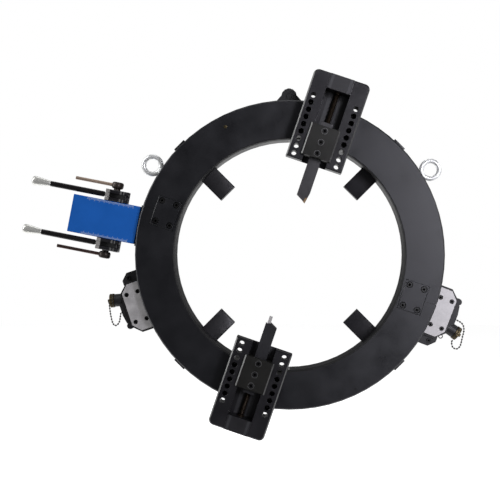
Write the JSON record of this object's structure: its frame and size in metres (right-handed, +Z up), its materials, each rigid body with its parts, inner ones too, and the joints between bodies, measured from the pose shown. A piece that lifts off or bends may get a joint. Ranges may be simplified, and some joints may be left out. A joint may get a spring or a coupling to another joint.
{
  "type": "pipe beveling machine",
  "caption": "Split-frame pipe cutting and beveling machine: a toothed ring with radial tool slides turns in a clamped frame, with side drives and a trip tower.",
  "frame": {"origin": "on the pipe's axis, in the middle plane of the four clamping legs", "axes": "+Y along the pipe away from the tools, +Z up through the hinge, +X towards the drive opposite the trip tower"},
  "size_m": [0.9014, 0.2519, 0.728],
  "materials": {
    "frame_black": "satin",
    "ring_grey": "satin",
    "dark_steel": "matte",
    "bright_steel": "polished",
    "gear_steel": "machined",
    "cover_steel": "brushed",
    "bronze": "satin",
    "tower_blue": "gloss"
  },
  "bodies": {
    "frame": {"stator_left": "frame_black", "stator_right": "frame_black", "hinge_pin": "bright_steel", "closure_bolt": "bright_steel", "leg_cap_1": "frame_black", "leg_cap_2": "frame_black", "leg_cap_3": "frame_black", "leg_cap_4": "frame_black", "eye_bolt_left": "bright_steel", "eye_bolt_right": "bright_steel", "drive_housing_left": "frame_black", "drive_cover_left": "cover_steel", "motor_left": "dark_steel", "dust_cap_left": "bronze", "bead_chain_left": "bright_steel", "drive_housing_right": "frame_black", "drive_cover_right": "cover_steel", "motor_right": "dark_steel", "dust_cap_right": "bronze", "bead_chain_right": "bright_steel", "trip_tower": "tower_blue"},
    "rotor": {"rotor_half_upper": "ring_grey", "rotor_half_lower": "ring_grey", "joint_plate_left": "dark_steel", "joint_plate_right": "dark_steel", "slide_base_upper": "frame_black", "slide_base_lower": "frame_black", "slide_end_plate_upper": "ring_grey", "slide_end_plate_lower": "ring_grey"},
    "left_pinion": {"pinion_left": "gear_steel"},
    "right_pinion": {"pinion_right": "gear_steel"},
    "roller_1": {"roller_1": "bright_steel"},
    "roller_2": {"roller_2": "bright_steel"},
    "roller_3": {"roller_3": "bright_steel"},
    "roller_4": {"roller_4": "bright_steel"},
    "upper_tool": {"tool_block_upper": "dark_steel", "tool_bit_upper": "gear_steel"},
    "upper_feed": {"feed_screw_upper": "bronze", "star_wheel_upper": "bright_steel"},
    "lower_tool": {"tool_block_lower": "dark_steel", "tool_bit_lower": "gear_steel"},
    "lower_feed": {"feed_screw_lower": "bronze", "star_wheel_lower": "bright_steel"},
    "leg_1": {"leg_1": "dark_steel"},
    "leg_screw_1": {"leg_screw_1": "bright_steel"},
    "leg_2": {"leg_2": "dark_steel"},
    "leg_screw_2": {"leg_screw_2": "bright_steel"},
    "leg_3": {"leg_3": "dark_steel"},
    "leg_screw_3": {"leg_screw_3": "bright_steel"},
    "leg_4": {"leg_4": "dark_steel"},
    "leg_screw_4": {"leg_screw_4": "bright_steel"},
    "upper_trip": {"trip_block_upper": "dark_steel"},
    "upper_trip_lever": {"trip_lever_upper": "dark_steel", "lever_knob_upper": "bright_steel"},
    "upper_clamp_lever": {"clamp_lever_upper": "bronze"},
    "lower_trip": {"trip_block_lower": "dark_steel"},
    "lower_trip_lever": {"trip_lever_lower": "dark_steel", "lever_knob_lower": "bright_steel"},
    "lower_clamp_lever": {"clamp_lever_lower": "bronze"}
  },
  "joints": [
    {"name": "rotor_turn", "type": "hinge", "parent": "frame", "child": "rotor", "pos_m": [0, -0.062, 0], "axis": [0, 1, 0], "continuous": true},
    {"name": "left_pinion_turn", "type": "hinge", "parent": "frame", "child": "left_pinion", "pos_m": [-0.30293, -0.002, -0.10312], "axis": [0, 1, 0], "continuous": true},
    {"name": "right_pinion_turn", "type": "hinge", "parent": "frame", "child": "right_pinion", "pos_m": [0.29895, -0.002, -0.11416], "axis": [0, 1, 0], "continuous": true},
    {"name": "roller_1_turn", "type": "hinge", "parent": "frame", "child": "roller_1", "pos_m": [0.23328, -0.028, 0.09663], "axis": [0, 1, 0], "continuous": true},
    {"name": "roller_2_turn", "type": "hinge", "parent": "frame", "child": "roller_2", "pos_m": [-0.09663, -0.028, 0.23328], "axis": [0, 1, 0], "continuous": true},
    {"name": "roller_3_turn", "type": "hinge", "parent": "frame", "child": "roller_3", "pos_m": [-0.23328, -0.028, -0.09663], "axis": [0, 1, 0], "continuous": true},
    {"name": "roller_4_turn", "type": "hinge", "parent": "frame", "child": "roller_4", "pos_m": [0.09663, -0.028, -0.23328], "axis": [0, 1, 0], "continuous": true},
    {"name": "upper_tool_slide", "type": "slide", "parent": "rotor", "child": "upper_tool", "axis": [0.3223, 0, 0.9466], "range_m": [-0.012, 0.048]},
    {"name": "upper_feed_turn", "type": "hinge", "parent": "rotor", "child": "upper_feed", "pos_m": [0.08532, -0.075, 0.28786], "axis": [0.3223, 0, 0.9466], "range_deg": [-5765, 1445]},
    {"name": "lower_tool_slide", "type": "slide", "parent": "rotor", "child": "lower_tool", "axis": [-0.3223, 0, -0.9466], "range_m": [-0.027, 0.033]},
    {"name": "lower_feed_turn", "type": "hinge", "parent": "rotor", "child": "lower_feed", "pos_m": [-0.08532, -0.075, -0.28786], "axis": [-0.3223, 0, -0.9466], "range_deg": [-3965, 3245]},
    {"name": "leg_1_slide", "type": "slide", "parent": "frame", "child": "leg_1", "axis": [0.7071, 0, 0.7071], "range_m": [-0.008, 0.02]},
    {"name": "leg_screw_1_turn", "type": "hinge", "parent": "frame", "child": "leg_screw_1", "pos_m": [0.21213, 0, 0.21213], "axis": [0.7071, 0, 0.7071], "range_deg": [-3606, 1446]},
    {"name": "leg_2_slide", "type": "slide", "parent": "frame", "child": "leg_2", "axis": [-0.7071, 0, 0.7071], "range_m": [-0.008, 0.02]},
    {"name": "leg_screw_2_turn", "type": "hinge", "parent": "frame", "child": "leg_screw_2", "pos_m": [-0.21213, 0, 0.21213], "axis": [-0.7071, 0, 0.7071], "range_deg": [-3606, 1446]},
    {"name": "leg_3_slide", "type": "slide", "parent": "frame", "child": "leg_3", "axis": [-0.7071, 0, -0.7071], "range_m": [-0.008, 0.02]},
    {"name": "leg_screw_3_turn", "type": "hinge", "parent": "frame", "child": "leg_screw_3", "pos_m": [-0.21213, 0, -0.21213], "axis": [-0.7071, 0, -0.7071], "range_deg": [-3606, 1446]},
    {"name": "leg_4_slide", "type": "slide", "parent": "frame", "child": "leg_4", "axis": [0.7071, 0, -0.7071], "range_m": [-0.008, 0.02]},
    {"name": "leg_screw_4_turn", "type": "hinge", "parent": "frame", "child": "leg_screw_4", "pos_m": [0.21213, 0, -0.21213], "axis": [0.7071, 0, -0.7071], "range_deg": [-3606, 1446]},
    {"name": "upper_trip_slide", "type": "slide", "parent": "frame", "child": "upper_trip", "axis": [-0.9816, 0, 0.1908], "range_m": [-0.01, 0.05]},
    {"name": "upper_trip_lever_tilt", "type": "hinge", "parent": "upper_trip", "child": "upper_trip_lever", "pos_m": [-0.35562, -0.038, 0.12006], "axis": [-0.1908, 0, -0.9816], "range_deg": [0, 15]},
    {"name": "upper_clamp_lever_turn", "type": "hinge", "parent": "upper_trip", "child": "upper_clamp_lever", "pos_m": [-0.35048, -0.024, 0.14127], "axis": [-0.1908, 0, -0.9816], "range_deg": [-80, 80]},
    {"name": "lower_trip_slide", "type": "slide", "parent": "frame", "child": "lower_trip", "axis": [-0.9816, 0, 0.1908], "range_m": [-0.01, 0.05]},
    {"name": "lower_trip_lever_tilt", "type": "hinge", "parent": "lower_trip", "child": "lower_trip_lever", "pos_m": [-0.37471, -0.038, 0.0219], "axis": [-0.1908, 0, -0.9816], "range_deg": [0, 15]},
    {"name": "lower_clamp_lever_turn", "type": "hinge", "parent": "lower_trip", "child": "lower_clamp_lever", "pos_m": [-0.37788, -0.024, 0.00031], "axis": [-0.1908, 0, -0.9816], "range_deg": [-80, 80]}
  ],
  "couplings": [
    {"joint": "left_pinion_turn", "follows": "rotor_turn", "ratio": -15},
    {"joint": "right_pinion_turn", "follows": "rotor_turn", "ratio": -15},
    {"joint": "roller_1_turn", "follows": "rotor_turn", "ratio": 29.1},
    {"joint": "roller_2_turn", "follows": "rotor_turn", "ratio": 29.1},
    {"joint": "roller_3_turn", "follows": "rotor_turn", "ratio": 29.1},
    {"joint": "roller_4_turn", "follows": "rotor_turn", "ratio": 29.1},
    {"joint": "upper_feed_turn", "follows": "upper_tool_slide", "rad_per_m": -2094.4},
    {"joint": "lower_feed_turn", "follows": "lower_tool_slide", "rad_per_m": -2094.4},
    {"joint": "leg_screw_1_turn", "follows": "leg_1_slide", "rad_per_m": -3141.6},
    {"joint": "leg_screw_2_turn", "follows": "leg_2_slide", "rad_per_m": -3141.6},
    {"joint": "leg_screw_3_turn", "follows": "leg_3_slide", "rad_per_m": -3141.6},
    {"joint": "leg_screw_4_turn", "follows": "leg_4_slide", "rad_per_m": -3141.6}
  ]
}
